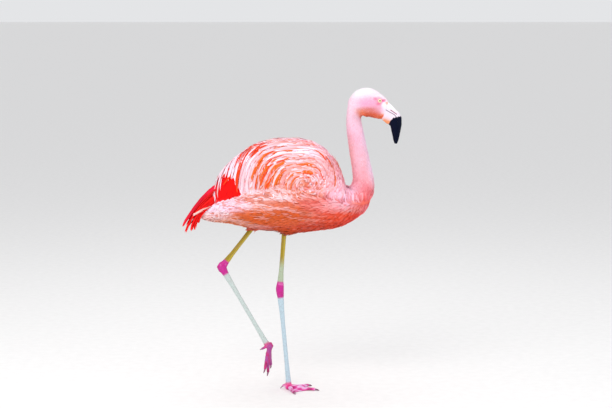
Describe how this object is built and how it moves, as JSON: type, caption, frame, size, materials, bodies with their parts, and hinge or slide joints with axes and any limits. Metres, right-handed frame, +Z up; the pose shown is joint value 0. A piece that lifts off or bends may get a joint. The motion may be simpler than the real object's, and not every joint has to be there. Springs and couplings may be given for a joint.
{
  "type": "flamingo",
  "caption": "Life-size model of a walking flamingo with an S-shaped neck and a bent bill, standing on one webbed foot with the other lifted behind it.",
  "frame": {"origin": "On the floor, at the middle of the sole of the planted right foot.", "axes": "+X ahead of the bird, +Y to its left, +Z up."},
  "size_m": [0.5919, 0.202, 0.8308],
  "materials": {
    "crown_plumage": "short soft feathers, near-white pink, rosier on the cheek",
    "neck_plumage": "velvety short feathers, pink, deeper low on the front",
    "breast_plumage": "smooth contour feathers, pink turning coral-red low down",
    "flank_plumage": "contour feathers, coral and orange-brown underneath",
    "rump_plumage": "soft loose feathers, pale pink",
    "wing_plumage": "coverts in overlapping rows, pale pink streaked with orange",
    "tertial_plumage": "long lanceolate plumes, pale pink with salmon centres",
    "crimson_plumage": "long narrow plumes, scarlet",
    "tibia_skin": "small scutes, olive yellow",
    "joint_skin": "swollen joint, magenta, satin",
    "shank_skin": "wide front scutes, pale bluish grey, satin",
    "foot_skin": "scaled toes and webs, pink with lilac lights",
    "claw_horn": "short blunt claws, dark horn",
    "bill_pale_horn": "horn, satin, pale at the root and black towards the tip",
    "bill_black_horn": "horn, satin, mostly black",
    "eye": "wet and smooth, pale yellow iris with a small dark pupil"
  },
  "bodies": {
    "root": {"ankle_left": "joint_skin", "ankle_right": "joint_skin", "bill_lower": "bill_black_horn", "bill_upper": "bill_pale_horn", "breast": "breast_plumage", "claw_hallux_left": "claw_horn", "claw_hallux_right": "claw_horn", "claw_inner_left": "claw_horn", "claw_inner_right": "claw_horn", "claw_middle_left": "claw_horn", "claw_middle_right": "claw_horn", "claw_outer_left": "claw_horn", "claw_outer_right": "claw_horn", "eye_left": "eye", "eye_right": "eye", "foot_left": "foot_skin", "foot_right": "foot_skin", "hallux_left": "foot_skin", "hallux_right": "foot_skin", "head": "crown_plumage", "neck_lower": "neck_plumage", "neck_middle": "neck_plumage", "neck_upper": "neck_plumage", "plumes_left": "crimson_plumage", "plumes_right": "crimson_plumage", "rump": "rump_plumage", "tail": "rump_plumage", "tarsus_left": "shank_skin", "tarsus_right": "shank_skin", "tertials_left": "tertial_plumage", "tertials_right": "tertial_plumage", "thigh_left": "flank_plumage", "thigh_right": "flank_plumage", "tibia_left": "tibia_skin", "tibia_right": "tibia_skin", "trunk": "flank_plumage", "wing_left": "wing_plumage", "wing_right": "wing_plumage"}
  },
  "joints": []
}
